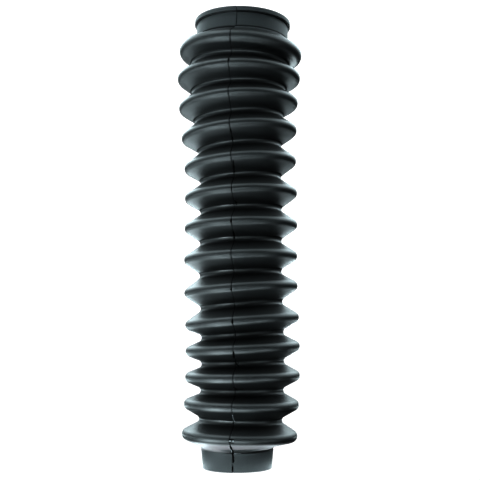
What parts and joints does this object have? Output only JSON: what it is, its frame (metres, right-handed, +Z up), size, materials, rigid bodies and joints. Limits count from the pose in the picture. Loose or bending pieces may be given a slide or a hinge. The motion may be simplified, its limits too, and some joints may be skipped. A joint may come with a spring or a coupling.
{
  "type": "rubber bellows boot",
  "caption": "Moulded rubber bellows boot, a hollow folded sleeve with a lipped large collar and a plain small collar, that covers a sliding tube joint.",
  "frame": {"origin": "centre of the small collar's rim, which is the face it stands on", "axes": "+Z up the boot towards the large lipped collar; +X towards the side to which the relaxed boot sways"},
  "size_m": [0.0846, 0.0834, 0.3014],
  "materials": {
    "rubber": "satin black moulded rubber"
  },
  "bodies": {
    "root": {"bellows_boot": "rubber"}
  },
  "joints": []
}
